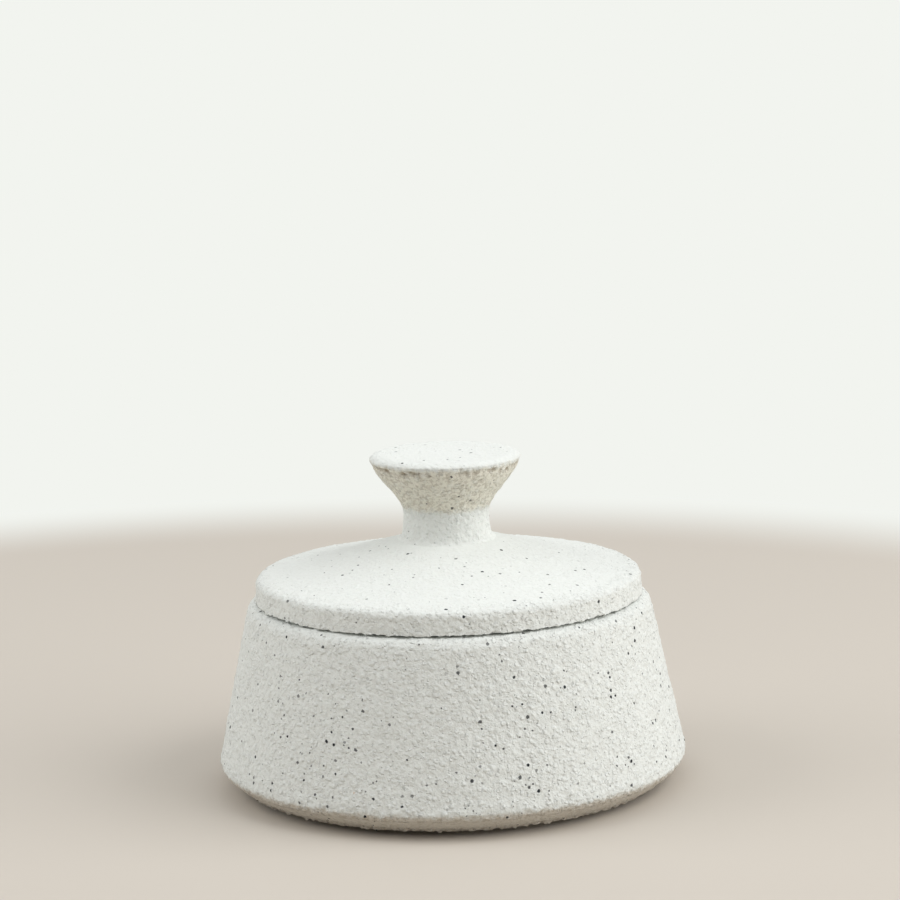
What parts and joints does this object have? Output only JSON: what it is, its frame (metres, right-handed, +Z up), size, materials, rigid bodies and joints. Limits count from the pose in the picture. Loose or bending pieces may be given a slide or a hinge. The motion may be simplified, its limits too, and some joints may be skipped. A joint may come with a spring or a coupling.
{
  "type": "lidded storage jar",
  "caption": "Round stoneware storage jar with a wall that leans in to the rim, an undercut base, and a shallow conical lift-off lid with a spool-shaped knob.",
  "frame": {"origin": "centre of the flat underside of the jar, on the table", "axes": "+Z up along the axis that every piece is turned about; the jar is round, so +X and +Y are free, and the picture looks along +Y with +X to its right"},
  "size_m": [0.1392, 0.1392, 0.0986],
  "materials": {
    "pot_clay": "raw, coarse, speckled white stoneware; satin glaze inside",
    "lid_clay": "raw, coarse, speckled white stoneware"
  },
  "bodies": {
    "jar": {"jar_body": "pot_clay"},
    "lid": {"lid_plate": "lid_clay", "lid_flange": "lid_clay", "lid_knob": "lid_clay"}
  },
  "joints": [
    {"name": "lid_lift", "type": "slide", "parent": "jar", "child": "lid", "axis": [0, 0, 1], "range_m": [0, 0.1]}
  ]
}
